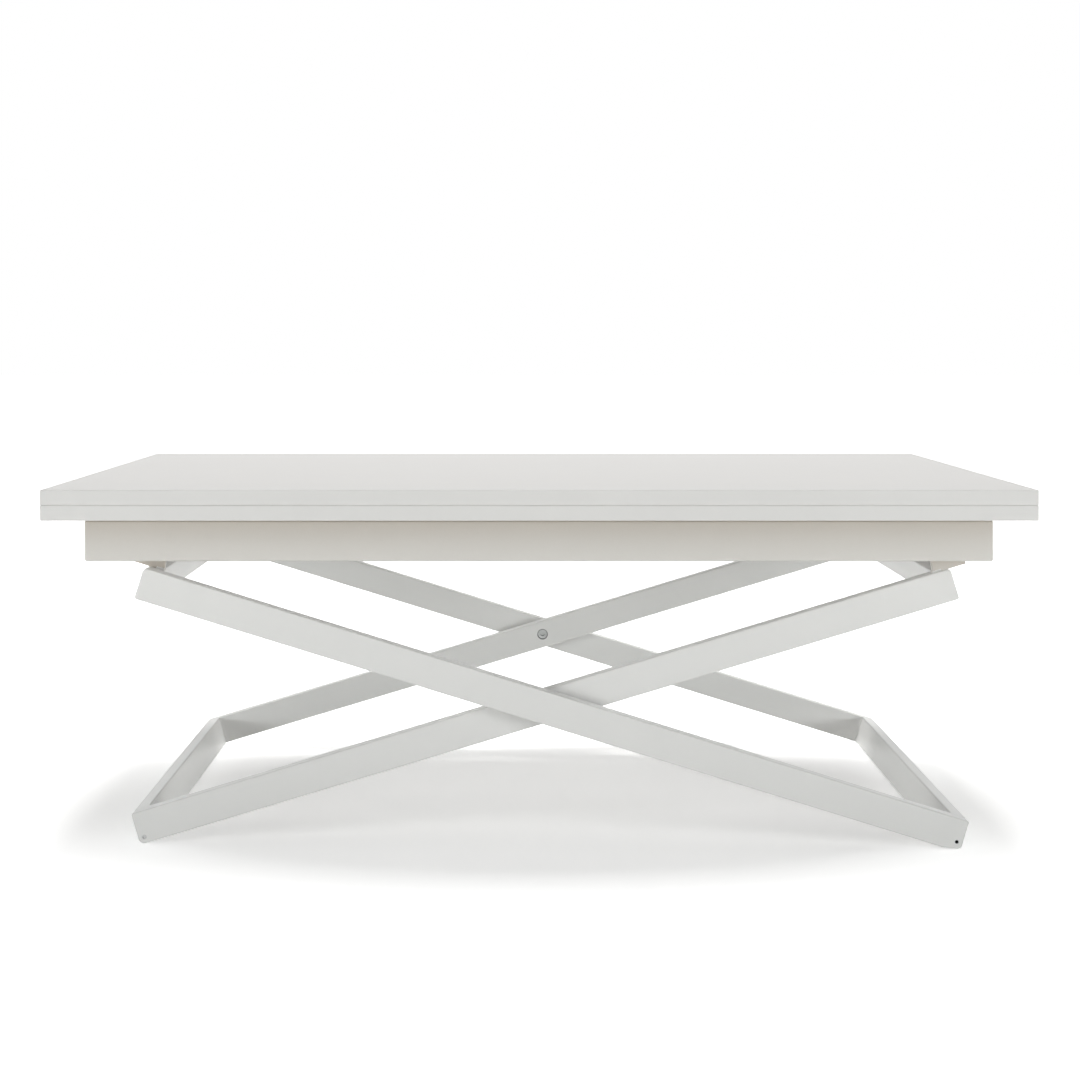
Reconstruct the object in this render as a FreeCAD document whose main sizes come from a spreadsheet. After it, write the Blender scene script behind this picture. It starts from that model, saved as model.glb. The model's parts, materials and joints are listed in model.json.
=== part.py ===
import FreeCAD, Part
import os
import re

import Sketcher

# Convertible coffee and dining table: a folded top on an apron, carried by two crossing leg frames.
# Millimetres, +Z up, floor at z = 0, the top centred over the origin, the front towards -Y.
# The table stands at coffee height. It rises by turning the leg frames about their centre pivots.

SIZES = {
    # Top: two equal leaves that fold like a book along the rear edge.
    "top_length": 1200,
    "top_depth": 700,
    "leaf_thickness": 18.3,
    "leaf_gap": 0.5,
    "leaf_edge_radius": 1,
    "leaf_clearance": 4,
    "bumper_radius": 5,
    "bumper_inset": 40,
    "bumper_play": 0.1,
    # Fold hinges, let into the facing sides of the leaves.
    "hinge_length": 60,
    "hinge_width": 28,
    "hinge_plate": 2,
    "hinge_play": 0.3,
    "hinge_inset": 150,
    "hinge_offset": 0.5,
    "knuckle_radius": 2.6,
    "hinge_pin_radius": 1.2,
    "hinge_screw_spacing": 40,
    "hinge_screw_setback": 17,
    # Wood screws.
    "screw_radius": 1.75,
    "screw_head_radius": 3.4,
    "screw_head_height": 1.6,
    "screw_length": 12,
    "screw_socket_radius": 1.5,
    "screw_socket_depth": 1,
    # Apron: two channels open inwards, joined by end rails and a beam under the swivel.
    "apron_end_setback": 43.2,
    "apron_side_setback": 43,
    "rail_height": 50,
    "rail_width": 24,
    "rail_wall": 3,
    "rail_edge_radius": 2.5,
    "end_rail_width": 15,
    "end_rail_wall": 2,
    "end_rail_edge_radius": 1.5,
    "cap_thickness": 3,
    "cap_play": 0.1,
    "glide_length": 40,
    "glide_width": 14,
    "glide_inset": 60,
    "glide_gap": 0.2,
    # Leg frames of rectangular tube.
    "lift_angle": 16.7,
    "outer_lean": 0.4,
    "leg_end_setback": 26.8,
    "leg_side_setback": 2.5,
    "leg_height": 40,
    "leg_width": 20,
    "leg_wall": 2,
    "leg_edge_radius": 1.9,
    "leg_head_radius": 6,
    "leg_foot_radius": 8,
    "leg_corner_radius": 2.5,
    "cross_shift": 12,
    "pivot_offset": 4,
    # Lugs on the upper ends of the frames.
    "lug_outer_width": 20,
    "lug_inner_width": 23,
    "lug_thickness": 8,
    "lug_edge_radius": 1.5,
    "lug_rise": 37.8,
    "lug_top_radius": 17,
    "lug_gap": 0.5,
    "lug_bush_wall": 1.5,
    # Centre pivots.
    "pivot_pin_radius": 7,
    "pivot_bush_wall": 1,
    "pivot_recess": 1.5,
    "pivot_end_gap": 1,
    "pivot_nut_radius": 11,
    "pivot_washer_radius": 14,
    "pivot_washer_thickness": 2,
    "pivot_socket_radius": 3.5,
    "pivot_socket_depth": 5,
    # Feet: pads on the right axle, rollers on the left axle.
    "foot_radius": 9,
    "foot_width": 14,
    "foot_side_gap": 1.5,
    "foot_axle_inset": 8,
    "foot_axle_radius": 3,
    "foot_axle_recess": 0.8,
    "foot_axle_proud": 0.4,
    "foot_slot_clearance": 0.6,
    "foot_relief": 8.4,
    "foot_relief_low": -6.5,
    "foot_relief_high": 20.5,
    "foot_relief_depth": 30,
    "foot_plug_length": 40,
    "foot_plug_height": 10,
    "foot_socket_radius": 2.1,
    "foot_socket_depth": 3,
    "pad_radius": 9.8,
    # Carriage in the rails and fixed pivots opposite it.
    "shaft_radius": 6,
    "shaft_end_gap": 1,
    "slider_length": 50,
    "slider_clearance": 0.4,
    "block_length": 60,
    "bolt_head_radius": 10,
    "bolt_head_height": 6,
    "bolt_head_gap": 0.5,
    "bolt_socket_radius": 5,
    "bolt_socket_depth": 4,
    # Gas spring between the carriage and the swivel beam.
    "gas_radius": 11,
    "gas_wall": 1.5,
    "gas_length": 330,
    "gas_cap": 10,
    "gas_neck_radius": 5,
    "gas_neck_length": 16,
    "gas_eye_radius": 9,
    "gas_eye_width": 12,
    "gas_rod_radius": 5,
    "gas_rod_start": 14,
    "gas_piston_room": 41.2,
    "gas_piston_length": 12,
    "gas_piston_clearance": 0.3,
    "rod_eye_radius": 10,
    "rod_eye_width": 14,
    "rod_neck_radius": 7.5,
    "rod_neck_length": 26,
    "gas_pin_radius": 4,
    "gas_pin_proud": 2,
    "anchor_reach": 22,
    "anchor_plate": 3,
    "anchor_height": 32,
    "anchor_width": 34,
    "anchor_ear_gap": 0.5,
    # Swivel under the lower leaf.
    "swivel_beam_width": 60,
    "swivel_beam_wall": 2,
    "swivel_bearing_radius": 28,
    "swivel_bearing_thickness": 2,
    "swivel_gap": 0.2,
    "swivel_plate_radius": 70,
    "swivel_screw_circle": 37,
    "spindle_radius": 8,
    "spindle_bush_wall": 2,
    "spindle_nut_radius": 14,
    "spindle_nut_height": 10,
    "spindle_washer_radius": 16,
    "spindle_washer_thickness": 2,
    "stop_pin_radius": 4,
    "stop_pin_circle": 54,
    "stop_pin_depth": 6,
    "stop_pin_gap": 0.6,
    # Release for the gas spring.
    "release_offset": 24,
    "release_rod_radius": 3,
    "release_rod_start": 12,
    "release_head_length": 24,
    "release_head_margin": 4,
    "release_travel": 10,
    "release_guide_wall": 2.5,
    "release_guide_lip": 1,
    "handle_setback": 16,
    "handle_width": 72,
    "handle_height": 18,
    "handle_thickness": 18,
    "handle_edge_radius": 4,
    "handle_bore_depth": 10,
    # Radial running fit of the pivots, and how far every cut runs past the face it opens.
    "running_clearance": 0.05,
    "overrun": 2,
}

# Places worked out from the sizes. The words on the right are sizes or other places.
PLACES = {
    "apron_length": "top_length - 2 * apron_end_setback",
    "rail_face": "top_depth / 2 - apron_side_setback",
    "rail_mouth": "rail_face - rail_width",
    "rail_web": "rail_face - rail_wall",
    "leg_length": "apron_length - 2 * leg_end_setback",
    "outer_half": "rail_face - leg_side_setback",
    "inner_half": "outer_half - leg_width - pivot_washer_thickness",
    "leg_up": "leg_length / 2 - pivot_offset",
    "leg_down": "leg_length / 2 + pivot_offset",
    "foot_reach": "leg_down - foot_axle_inset",
    "foot_drop": "leg_height / 2 - foot_axle_inset",
    "lug_reach": "leg_height / 2 + lug_rise",
    "centre_z": "foot_radius + foot_reach * sin(lift_angle) + foot_drop * cos(lift_angle)",
    "pivot_rise": "leg_up * sin(lift_angle) + lug_reach * cos(lift_angle)",
    "pivot_run": "leg_up * cos(lift_angle) - lug_reach * sin(lift_angle)",
    "pivot_z": "centre_z + pivot_rise",
    "foot_run": "foot_reach * cos(lift_angle) - foot_drop * sin(lift_angle)",
    "foot_fall": "centre_z - foot_radius",
    "inner_angle": "lift_angle",
    "inner_head_u": "-leg_up",
    "inner_head_v": "lug_reach",
    "inner_foot_u": "foot_reach",
    "inner_foot_v": "-foot_drop",
    "outer_angle": "lift_angle + outer_lean",
    "outer_head_u": "-(pivot_run * cos(outer_angle) + pivot_rise * sin(outer_angle))",
    "outer_head_v": "pivot_rise * cos(outer_angle) - pivot_run * sin(outer_angle)",
    "outer_foot_u": "foot_run * cos(outer_angle) + foot_fall * sin(outer_angle)",
    "outer_foot_v": "foot_run * sin(outer_angle) - foot_fall * cos(outer_angle)",
    "slider_x": "cross_shift - pivot_run",
    "fixed_x": "cross_shift + pivot_run",
    "right_foot_x": "cross_shift + foot_run",
    "rail_bottom": "pivot_z - rail_height / 2",
    "rail_top": "pivot_z + rail_height / 2",
    "channel_half": "rail_height / 2 - rail_wall",
    "end_rail_inside": "apron_length / 2 - end_rail_width",
    "lug_face": "rail_mouth - lug_gap",
    "lug_back": "lug_face - lug_thickness",
    "lug_bore": "shaft_radius + running_clearance + lug_bush_wall",
    "leaf_bottom": "rail_top + leaf_clearance",
    "lower_top": "leaf_bottom + leaf_thickness",
    "upper_bottom": "lower_top + leaf_gap",
    "fold_y": "top_depth / 2 + hinge_offset",
    "fold_z": "lower_top + leaf_gap / 2",
    "swivel_place": "top_depth / 4",
    "beam_side": "swivel_place - swivel_beam_width / 2",
    "beam_top": "rail_top - swivel_bearing_thickness",
    "anchor_x": "beam_side - anchor_reach",
    "gas_rear": "anchor_x - gas_neck_length",
    "gas_front": "gas_rear - gas_length",
    "piston_x": "gas_front + gas_cap + gas_piston_room",
    "spindle_bore": "spindle_radius + running_clearance",
    "release_bore": "release_rod_radius + running_clearance",
    "handle_x": "top_length / 2 - handle_setback - handle_thickness",
}

FRONT = -1
REAR = 1
SIDES = {"front": FRONT, "rear": REAR}
UPRIGHT = FreeCAD.Rotation()
TURNS = {
    "x": FreeCAD.Rotation(FreeCAD.Vector(0, 1, 0), 90),
    "y": FreeCAD.Rotation(FreeCAD.Vector(1, 0, 0), -90),
    "z": UPRIGHT,
}

DOC = FreeCAD.newDocument("convertible_table")
NODES = []


def fill_sheet():
    """Spreadsheet with one named cell for each driving size."""
    sheet = DOC.addObject("Spreadsheet::Sheet", "Sizes")
    for row, (alias, value) in enumerate(SIZES.items(), 1):
        sheet.set(f"A{row}", alias)
        sheet.set(f"B{row}", str(value))
        sheet.setAlias(f"B{row}", alias)
    DOC.recompute()


def formula(text):
    """Expression with each named size or place written out as cells of the sheet."""

    def written_out(match):
        word = match.group(0)
        if word in PLACES:
            return "(" + formula(PLACES[word]) + ")"
        return "Sizes." + word if word in SIZES else word

    return re.sub(r"[a-z][a-z_]*", written_out, text)


def bind(thing, prop, text):
    thing.setExpression(prop, formula(text))


def place(thing, x, y, z):
    """Tie a thing's position to the sizes."""
    for axis, text in zip("xyz", (x, y, z)):
        bind(thing, "Placement.Base." + axis, text)


def low_end(side, near, far):
    """Lower y of what lies between two distances from the middle plane, on one side of it."""
    return near if side == REAR else f"-({far})"


def box(name, length, width, height, x, y, z):
    """Block with its lowest corner at x, y, z."""
    solid = DOC.addObject("Part::Box", name)
    bind(solid, "Length", length)
    bind(solid, "Width", width)
    bind(solid, "Height", height)
    place(solid, x, y, z)
    return solid


def rod(name, radius, length, axis, x, y, z):
    """Cylinder that starts at x, y, z and runs along an axis."""
    solid = DOC.addObject("Part::Cylinder", name)
    solid.Placement.Rotation = TURNS[axis]
    bind(solid, "Radius", radius)
    bind(solid, "Height", length)
    place(solid, x, y, z)
    return solid


def hexagon(name, radius, length, axis, x, y, z):
    """Six-sided bar that starts at x, y, z and runs along an axis."""
    solid = DOC.addObject("Part::Prism", name)
    solid.Placement.Rotation = TURNS[axis]
    solid.Polygon = 6
    bind(solid, "Circumradius", radius)
    bind(solid, "Height", length)
    place(solid, x, y, z)
    return solid


def fuse(name, *solids):
    joined = DOC.addObject("Part::MultiFuse", name)
    joined.Shapes = list(solids)
    joined.Refine = True
    return joined


def cut(name, base, *tools):
    result = DOC.addObject("Part::Cut", name)
    result.Base = base
    result.Tool = tools[0] if len(tools) == 1 else fuse(name + "_tools", *tools)
    result.Refine = True
    return result


def group(name, solids):
    together = DOC.addObject("Part::Compound", name)
    together.Links = list(solids)
    return together


def node(name, *solids):
    """Sub-part under the name of its file: one solid, or a group of alike solids."""
    part = solids[0] if len(solids) == 1 else group(name + "_group", solids)
    part.Label = name
    NODES.append(part)
    return part


def origin_plane(body, role):
    return next(plane for plane in body.Origin.OriginFeatures if plane.Role == role)


def new_sketch(body, name, role):
    sketch = body.newObject("Sketcher::SketchObject", name)
    sketch.AttachmentSupport = (origin_plane(body, role), "")
    sketch.MapMode = "FlatFace"
    return sketch


def dimension(sketch, name, constraint, text):
    """Named sketch dimension tied to the sizes."""
    number = sketch.addConstraint(constraint)
    sketch.renameConstraint(number, name)
    bind(sketch, "Constraints." + name, text)


def centred_rectangle(sketch, width, height):
    """Rectangle about the sketch's origin."""
    corners = [FreeCAD.Vector(x, y, 0) for x, y in ((-1, -1), (1, -1), (1, 1), (-1, 1))]
    for start, end in zip(corners, corners[1:] + corners[:1]):
        sketch.addGeometry(Part.LineSegment(start, end))
    for line in range(4):
        sketch.addConstraint(Sketcher.Constraint("Coincident", line, 2, (line + 1) % 4, 1))
        sketch.addConstraint(Sketcher.Constraint("Vertical" if line % 2 else "Horizontal", line))
    sketch.addConstraint(Sketcher.Constraint("Symmetric", 0, 1, 1, 2, -1, 1))
    dimension(sketch, "width", Sketcher.Constraint("DistanceX", 0, 1, 0, 2, 2), width)
    dimension(sketch, "height", Sketcher.Constraint("DistanceY", 1, 1, 1, 2, 2), height)


SAME_PLACE_SHARE = 0.001


def edges_at(shape, *wanted):
    """Names of the edges whose middle lies at given shares of the shape's box; None takes any share."""
    bounds = shape.BoundBox
    names = []
    for number, edge in enumerate(shape.Edges, 1):
        middle = edge.BoundBox.Center
        found = (
            (middle.x - bounds.XMin) / bounds.XLength,
            (middle.y - bounds.YMin) / bounds.YLength,
            (middle.z - bounds.ZMin) / bounds.ZLength,
        )
        for shares in wanted:
            if all(s is None or abs(s - f) < SAME_PLACE_SHARE for s, f in zip(shares, found)):
                names.append(f"Edge{number}")
                break
    return names


ALL_EDGES_SHARES = [(None, None, None)]
LONG_Y_SHARES = [(x, 0.5, z) for x in (0, 1) for z in (0, 1)]


def block(name, length, width, height, roundings=()):
    """Solid block, centred in plan on its own origin and standing on it, with rounded edges."""
    body = DOC.addObject("PartDesign::Body", name)
    sketch = new_sketch(body, name + "_plan", "XY_Plane")
    centred_rectangle(sketch, length, width)
    solid = body.newObject("PartDesign::Pad", name + "_pad")
    solid.Profile = sketch
    bind(solid, "Length", height)
    for number, (shares, radius) in enumerate(roundings):
        DOC.recompute()
        rounding = body.newObject("PartDesign::Fillet", f"{name}_rounding_{number}")
        rounding.Base = (solid, edges_at(solid.Shape, *shares))
        bind(rounding, "Radius", radius)
        solid = rounding
    DOC.recompute()
    return body


def wood_screw(name, side, x, y, z):
    """Countersunk screw with its head's face at x, y, z; it points up on side 1, down on side -1."""
    head = DOC.addObject("Part::Cone", name + "_head")
    shank_z = f"({z}) + {side} * screw_head_height"
    tip_z = f"({z}) + {side} * screw_length"
    wide, narrow = ("screw_head_radius", "screw_radius")
    bind(head, "Radius1", wide if side > 0 else narrow)
    bind(head, "Radius2", narrow if side > 0 else wide)
    bind(head, "Height", "screw_head_height")
    place(head, x, y, z if side > 0 else shank_z)
    shank_low = z if side > 0 else tip_z
    shank = rod(name + "_shank", "screw_radius", "screw_length", "z", x, y, shank_low)
    return fuse(name, head, shank)


def socketed(name, screw, side, x, y, z):
    """The same screw with its drive socket."""
    low = f"({z}) - overrun" if side > 0 else f"({z}) - screw_socket_depth"
    tool = hexagon(name + "_socket", "screw_socket_radius", "screw_socket_depth + overrun", "z", x, y, low)
    return cut(name, screw, tool)


# Leg frames. Each is built about its centre pivot, with +X towards its foot, then tilted into place.


def tilt(thing, frame):
    """Set a leg frame's sub-part on its slope about the centre pivot."""
    if frame == "outer":
        thing.Placement.Rotation = FreeCAD.Rotation(FreeCAD.Vector(0, 1, 0), 1)
        bind(thing, "Placement.Rotation.Angle", "outer_angle")
    else:
        thing.Placement.Rotation = FreeCAD.Rotation(FreeCAD.Vector(0, 0, 1), 180)
        bind(thing, "Placement.Rotation.Axis.x", "-sin(inner_angle / 2)")
        bind(thing, "Placement.Rotation.Axis.z", "cos(inner_angle / 2)")
    place(thing, "cross_shift", "0", "centre_z")


def local_side(frame, side):
    """The inner frame is turned half round, so its front lies on its own rear side."""
    return side if frame == "outer" else -side


FOOT_CORNER_SHARES = [(1, 0.5, 0)]
HEAD_CORNER_SHARES = [(0, 0.5, 1)]
OTHER_CORNER_SHARES = [(0, 0.5, 0), (1, 0.5, 1)]
FLANK_SHARES = [(None, 0, None), (None, 1, None)]


def foot_reliefs(name):
    """Tools that trim the outer frame's foot so that it clears the floor all through the lift."""
    tools = []
    for limit in ("low", "high"):
        below = box(
            f"{name}_{limit}_below",
            "2 * foot_relief_depth",
            "2 * rail_face",
            "foot_relief_depth",
            "-foot_relief_depth",
            "-rail_face",
            "-foot_relief - foot_relief_depth",
        )
        tool = group(f"{name}_{limit}_relief", [below])
        tool.Placement.Rotation = FreeCAD.Rotation(FreeCAD.Vector(0, -1, 0), 1)
        bind(tool, "Placement.Rotation.Angle", f"outer_angle + foot_relief_{limit}")
        place(tool, "outer_foot_u", "0", "outer_foot_v")
        tools.append(tool)
    return tools


def leg_beam(frame, position):
    """Long tube of a leg frame with rounded ends, its axle hole and its pivot hole."""
    side = local_side(frame, SIDES[position])
    name = f"{frame}_{position}_beam"
    near, far = (f"{frame}_half - leg_width", f"{frame}_half")
    middle_y = f"{side} * ({frame}_half - leg_width / 2)"
    roundings = [(HEAD_CORNER_SHARES, "leg_head_radius"), (OTHER_CORNER_SHARES, "leg_corner_radius")]
    if frame == "inner":
        roundings.append((FOOT_CORNER_SHARES, "leg_foot_radius"))
    tube = block(
        name + "_outside",
        "leg_length",
        "leg_width",
        "leg_height",
        roundings + [(FLANK_SHARES, "leg_edge_radius")],
    )
    place(tube, "pivot_offset", middle_y, "-leg_height / 2")
    hollow = block(
        name + "_hollow",
        "leg_length - leg_wall - foot_plug_length",
        "leg_width - 2 * leg_wall",
        "leg_height - 2 * leg_wall",
        [(HEAD_CORNER_SHARES, "leg_head_radius - leg_wall")],
    )
    hollow_x = "pivot_offset + leg_wall / 2 - foot_plug_length / 2"
    place(hollow, hollow_x, middle_y, "leg_wall - leg_height / 2")
    low = low_end(side, near, far)
    axle_hole = rod(
        name + "_axle_hole",
        "foot_axle_radius + running_clearance",
        "leg_width + 2 * overrun",
        "y",
        f"{frame}_foot_u",
        f"{low} - overrun",
        f"{frame}_foot_v",
    )
    tools = [hollow, axle_hole]
    if frame == "inner":
        tools.append(
            rod(
                name + "_pivot_hole",
                "pivot_pin_radius + running_clearance + pivot_bush_wall",
                "leg_width + 2 * overrun",
                "y",
                "0",
                f"{low} - overrun",
                "0",
            )
        )
    else:
        inside = low_end(side, f"{near} - overrun", f"{near} + leg_wall + overrun")
        tools.append(
            rod(
                name + "_pivot_hole",
                "pivot_pin_radius",
                "leg_wall + 2 * overrun",
                "y",
                "0",
                inside,
                "0",
            )
        )
        tools += foot_reliefs(name)
    beam = cut(name, tube, *tools)
    tilt(beam, frame)
    return node(name, beam)


def cross_bar(frame, end):
    """Tube between the beams, flush with their ends; the foot bar has slots for its feet."""
    name = f"{frame}_{end}_bar"
    at_foot = end == "foot"
    trimmed = at_foot and frame == "outer"
    corner = FOOT_CORNER_SHARES if at_foot else HEAD_CORNER_SHARES
    corner_radius = f"leg_{end}_radius" if at_foot else "leg_head_radius"
    others = [shares for shares in LONG_Y_SHARES if shares not in corner]
    middle_x = "leg_down - leg_width / 2" if at_foot else "leg_width / 2 - leg_up"
    length = f"2 * ({frame}_half - leg_width)"
    roundings = [(others, "leg_edge_radius")]
    if not trimmed:
        roundings.insert(0, (corner, corner_radius))
    tube = block(name + "_outside", "leg_width", length, "leg_height", roundings)
    place(tube, middle_x, "0", "-leg_height / 2")
    floor_wall = "foot_plug_height" if trimmed else "leg_wall"
    hollow = block(
        name + "_hollow",
        "leg_width - 2 * leg_wall",
        f"{length} + 2 * overrun",
        f"leg_height - leg_wall - {floor_wall}",
        () if trimmed else [(corner, f"{corner_radius} - leg_wall")],
    )
    place(hollow, middle_x, "0", f"{floor_wall} - leg_height / 2")
    tools = [hollow]
    if trimmed:
        tools += foot_reliefs(name)
        tools.append(
            rod(
                name + "_axle_hole",
                "foot_axle_radius + running_clearance",
                f"{length} + 2 * overrun",
                "y",
                "outer_foot_u",
                f"-{length} / 2 - overrun",
                "outer_foot_v",
            )
        )
    if at_foot:
        slot_width = "foot_width + 2 * foot_side_gap + overrun"
        for position, side in SIDES.items():
            edge = f"{frame}_half - leg_width"
            low = low_end(side, f"{edge} - foot_width - 2 * foot_side_gap", f"{edge} + overrun")
            tools.append(
                rod(
                    f"{name}_{position}_slot",
                    "pad_radius + foot_slot_clearance",
                    slot_width,
                    "y",
                    f"{frame}_foot_u",
                    low,
                    f"{frame}_foot_v",
                )
            )
    bar = cut(name, tube, *tools)
    tilt(bar, frame)
    return node(name, bar)


def rim_edges(shape):
    """Names of a lug's outline edges, apart from its foot and its bore."""
    names = edges_at(shape, *FLANK_SHARES)
    foot = edges_at(shape, (None, None, 0))
    bore = [name for name in names if shape.getElement(name).isClosed()]
    return [name for name in names if name not in foot + bore]


def lug_plate(name, frame):
    """Lug about its pivot: a straight foot, sides that close in, and a round top with a bore."""
    body = DOC.addObject("PartDesign::Body", name)
    sketch = new_sketch(body, name + "_outline", "XZ_Plane")
    left, right = (FreeCAD.Vector(-2, -3, 0), FreeCAD.Vector(2, -3, 0))
    crown = Part.Circle(FreeCAD.Vector(), FreeCAD.Vector(0, 0, 1), 1)
    sketch.addGeometry(Part.LineSegment(left, right))
    sketch.addGeometry(Part.LineSegment(right, FreeCAD.Vector(1, 0, 0)))
    sketch.addGeometry(Part.ArcOfCircle(crown, 0, 3.14))
    sketch.addGeometry(Part.LineSegment(FreeCAD.Vector(-1, 0, 0), left))
    sketch.addGeometry(crown)
    sketch.addConstraint(Sketcher.Constraint("Coincident", 2, 3, -1, 1))
    sketch.addConstraint(Sketcher.Constraint("Coincident", 4, 3, -1, 1))
    sketch.addConstraint(Sketcher.Constraint("Coincident", 0, 2, 1, 1))
    sketch.addConstraint(Sketcher.Constraint("Tangent", 1, 2, 2, 1))
    sketch.addConstraint(Sketcher.Constraint("Tangent", 2, 2, 3, 1))
    sketch.addConstraint(Sketcher.Constraint("Coincident", 3, 2, 0, 1))
    sketch.addConstraint(Sketcher.Constraint("Horizontal", 0))
    dimension(sketch, "bore", Sketcher.Constraint("Radius", 4, 1), "lug_bore")
    dimension(sketch, "crown", Sketcher.Constraint("Radius", 2, 1), "lug_top_radius")
    dimension(sketch, "outer", Sketcher.Constraint("DistanceX", 0, 1, -1, 1, 2), "lug_outer_width")
    dimension(sketch, "inner", Sketcher.Constraint("DistanceX", -1, 1, 0, 2, 2), "lug_inner_width")
    rise = f"{frame}_head_v - leg_height / 2"
    dimension(sketch, "rise", Sketcher.Constraint("DistanceY", 0, 1, -1, 1, 3), rise)
    pad = body.newObject("PartDesign::Pad", name + "_pad")
    pad.Profile = sketch
    bind(pad, "Length", "lug_thickness")
    DOC.recompute()
    rounding = body.newObject("PartDesign::Fillet", name + "_rounding")
    rounding.Base = (pad, rim_edges(pad.Shape))
    bind(rounding, "Radius", "lug_edge_radius")
    return body


def lugs(frame):
    """Lugs that stand on the frame's upper end and reach up into the apron, with their bushes."""
    plates = []
    bushes = []
    for position, side in SIDES.items():
        name = f"{frame}_{position}_lug"
        head = (f"{frame}_head_u", f"{frame}_head_v")
        plate = lug_plate(name, frame)
        place(plate, head[0], low_end(side, "lug_face", "lug_back"), head[1])
        plates.append(plate)
        low = low_end(side, "lug_back", "lug_face")
        ring = rod(name + "_ring", "lug_bore", "lug_thickness", "y", head[0], low, head[1])
        bore = rod(
            name + "_bore",
            "shaft_radius + running_clearance",
            "lug_thickness + 2 * overrun",
            "y",
            head[0],
            f"{low} - overrun",
            head[1],
        )
        bushes.append(cut(name + "_bush", ring, bore))
    for name, solids in ((f"{frame}_lugs", plates), (f"{frame}_lug_bushes", bushes)):
        tilt(node(name, *solids), frame)


def pivot_pieces(name, radius, near, far):
    """Round pieces on the centre pivot, one at each side, between two distances from the middle."""
    length = f"({far}) - ({near})"
    return [
        rod(f"{name}_{position}", radius, length, "y", "cross_shift", low_end(side, near, far), "centre_z")
        for position, side in SIDES.items()
    ]


def bored(name, solids, tools):
    return [cut(f"{name}_{n}", solid, tool) for n, (solid, tool) in enumerate(zip(solids, tools))]


def centre_pivots():
    """Pins through both frames, held by nuts in the outer beams and turning in the inner ones."""
    pin_near = "inner_half - leg_width + pivot_recess"
    pin_far = "outer_half - leg_wall - pivot_end_gap"
    pins = pivot_pieces("pivot_pin", "pivot_pin_radius", pin_near, pin_far)
    near_end = f"{pin_near} - overrun"
    sockets = []
    for position, side in SIDES.items():
        low = low_end(side, near_end, f"{pin_near} + pivot_socket_depth")
        sockets.append(
            hexagon(
                f"pivot_socket_{position}",
                "pivot_socket_radius",
                "pivot_socket_depth + overrun",
                "y",
                "cross_shift",
                low,
                "centre_z",
            )
        )
    node("centre_pivot_pins", *bored("pivot_pin_end", pins, sockets))
    nut_near, nut_far = ("outer_half - leg_width + leg_wall", "outer_half - leg_wall")
    nuts = pivot_pieces("pivot_nut", "pivot_nut_radius", nut_near, nut_far)
    node("centre_pivot_nuts", *bored("pivot_nut_bored", nuts, pins))
    running_bore = "pivot_pin_radius + running_clearance"
    bore_far = "outer_half + overrun"
    bores = pivot_pieces("pivot_bore", running_bore, near_end, bore_far)
    washers = pivot_pieces("pivot_washer", "pivot_washer_radius", "inner_half", "outer_half - leg_width")
    node("centre_pivot_washers", *bored("pivot_washer_bored", washers, bores))
    bushes = pivot_pieces(
        "pivot_bush", f"{running_bore} + pivot_bush_wall", "inner_half - leg_width", "inner_half"
    )
    node("centre_pivot_bushes", *bored("pivot_bush_bored", bushes, bores))


def axle(name, x, half):
    """Foot axle through a frame's foot end, with a drive socket in each end."""
    shaft = rod(name + "_bar", "foot_axle_radius", f"2 * ({half})", "y", x, f"-({half})", "foot_radius")
    tools = []
    for position, side in SIDES.items():
        low = low_end(side, f"{half} - foot_socket_depth", f"{half} + overrun")
        length = "foot_socket_depth + overrun"
        tools.append(
            hexagon(f"{name}_{position}", "foot_socket_radius", length, "y", x, low, "foot_radius")
        )
    node(name, cut(name, shaft, *tools))
    return shaft


def foot_span(frame, side):
    near = f"{frame}_half - leg_width - foot_side_gap - foot_width"
    return low_end(side, near, f"{frame}_half - leg_width - foot_side_gap")


def right_feet():
    """Fixed side: an axle with two pads, flat where they meet the floor."""
    shaft = axle("right_foot_axle", "right_foot_x", "outer_half - foot_axle_recess")
    pads = []
    for position, side in SIDES.items():
        low = foot_span("outer", side)
        disc = rod(f"pad_{position}", "pad_radius", "foot_width", "y", "right_foot_x", low, "foot_radius")
        below = box(
            f"pad_below_{position}",
            "2 * pad_radius",
            "foot_width + 2 * overrun",
            "pad_radius",
            "right_foot_x - pad_radius",
            f"{low} - overrun",
            "-pad_radius",
        )
        pads.append(cut(f"foot_pad_{position}", disc, below, shaft))
    node("right_foot_pads", *pads)


def left_feet():
    """Rolling side: an axle with two rollers."""
    x = "cross_shift - foot_run"
    axle("left_foot_axle", x, "inner_half + foot_axle_proud")
    for position, side in SIDES.items():
        low = foot_span("inner", side)
        disc = rod(f"roller_{position}", "foot_radius", "foot_width", "y", x, low, "foot_radius")
        bore = rod(
            f"roller_bore_{position}",
            "foot_axle_radius + running_clearance",
            "foot_width + 2 * overrun",
            "y",
            x,
            f"{low} - overrun",
            "foot_radius",
        )
        name = f"left_{position}_roller"
        node(name, cut(name, disc, bore))


# Apron.


def apron_rails():
    """Long channels, closed to the outside and open inwards."""
    for position, side in SIDES.items():
        name = f"{position}_rail"
        outside = block(
            name + "_outside",
            "apron_length",
            "rail_width",
            "rail_height",
            [(ALL_EDGES_SHARES, "rail_edge_radius")],
        )
        place(outside, "0", f"{side} * (rail_face - rail_width / 2)", "rail_bottom")
        channel = box(
            name + "_channel",
            "apron_length + 2 * overrun",
            "rail_width - rail_wall + overrun",
            "2 * channel_half",
            "-apron_length / 2 - overrun",
            low_end(side, "rail_mouth - overrun", "rail_web"),
            "pivot_z - channel_half",
        )
        node(name, cut(name, outside, channel))


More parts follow.
